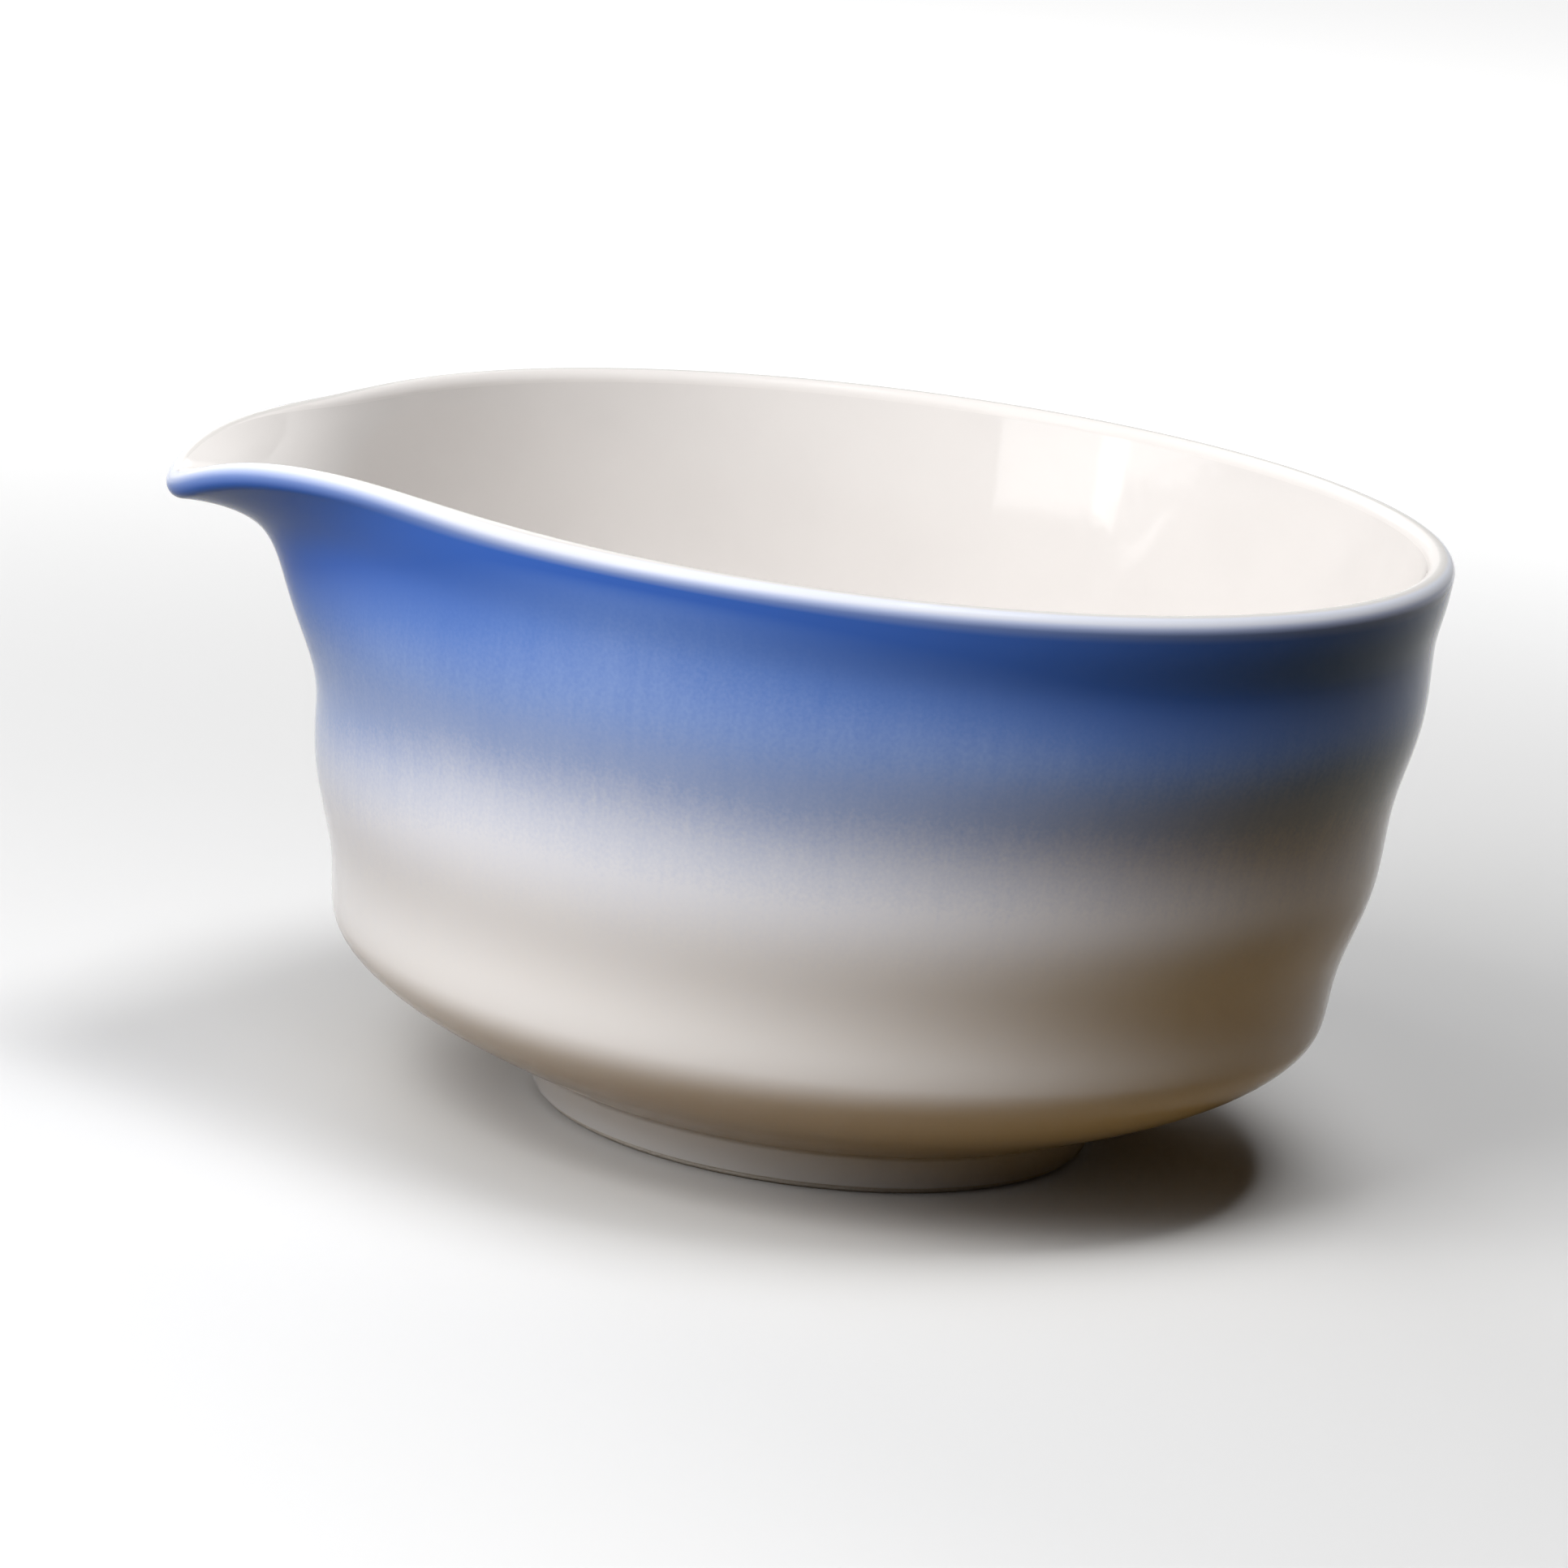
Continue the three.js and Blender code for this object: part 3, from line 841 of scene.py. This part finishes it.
def make_stage():
    """A round floor that sweeps up into a backdrop on all sides."""
    turn = np.linspace(0, np.pi / 2, SWEEP_STEPS + 1)
    radii = FLOOR_RADIUS + SWEEP_RADIUS * np.sin(turn)
    heights = SWEEP_RADIUS * (1 - np.cos(turn))
    profile = [*zip(radii, heights), (radii[-1], BACKDROP_HEIGHT)]
    around = 2 * np.pi * np.arange(STAGE_SIDES) / STAGE_SIDES
    vertices = [(r * np.cos(a), r * np.sin(a), h) for r, h in profile for a in around]
    faces = [list(range(STAGE_SIDES))]
    for row in range(len(profile) - 1):
        for side in range(STAGE_SIDES):
            here, there = row * STAGE_SIDES + side, row * STAGE_SIDES + (side + 1) % STAGE_SIDES
            faces.append([here, here + STAGE_SIDES, there + STAGE_SIDES, there])
    mesh = bpy.data.meshes.new("stage")
    mesh.from_pydata(vertices, [], faces)
    mesh.polygons.foreach_set("use_smooth", [True] * len(mesh.polygons))
    mesh.materials.append(stage_material())
    stage = bpy.data.objects.new("stage", mesh)
    bpy.context.scene.collection.objects.link(stage)


def make_world():
    world = bpy.data.worlds.new("studio")
    world.use_nodes = True
    background = world.node_tree.nodes["Background"]
    background.inputs["Color"].default_value = WHITE
    background.inputs["Strength"].default_value = WORLD_FILL
    bpy.context.scene.world = world


def make_light(name, azimuth, elevation, distance, width, height, power):
    """A soft rectangular lamp aimed at the middle of the bowl."""
    data = bpy.data.lights.new(name, "AREA")
    data.shape = "RECTANGLE"
    data.size = width
    data.size_y = height
    data.energy = power
    lamp = bpy.data.objects.new(name, data)
    bpy.context.scene.collection.objects.link(lamp)
    way = away(azimuth, elevation)
    lamp.location = Vector((AXIS, 0, AXIS_HEIGHT)) + way * distance
    lamp.rotation_mode = "QUATERNION"
    lamp.rotation_quaternion = way.to_track_quat("Z", "Y")


make_stage()
make_world()
make_light("key", azimuth=-51.5, elevation=37, distance=0.75, width=0.445, height=0.935, power=3.15)
make_light("key_middle", azimuth=-50, elevation=38, distance=0.75, width=0.35, height=0.35, power=2.45)
make_light("side", azimuth=-75, elevation=18, distance=0.75, width=0.4, height=0.28, power=0.9)
make_light("top_right", azimuth=65, elevation=80, distance=1.6, width=0.5, height=0.5, power=7.9)
make_light("top_front", azimuth=25, elevation=78, distance=1.6, width=0.5, height=0.5, power=5.4)
make_light("back", azimuth=-165, elevation=30, distance=0.9, width=0.5, height=0.5, power=2.6)

bpy.context.scene.view_settings.view_transform = "Standard"
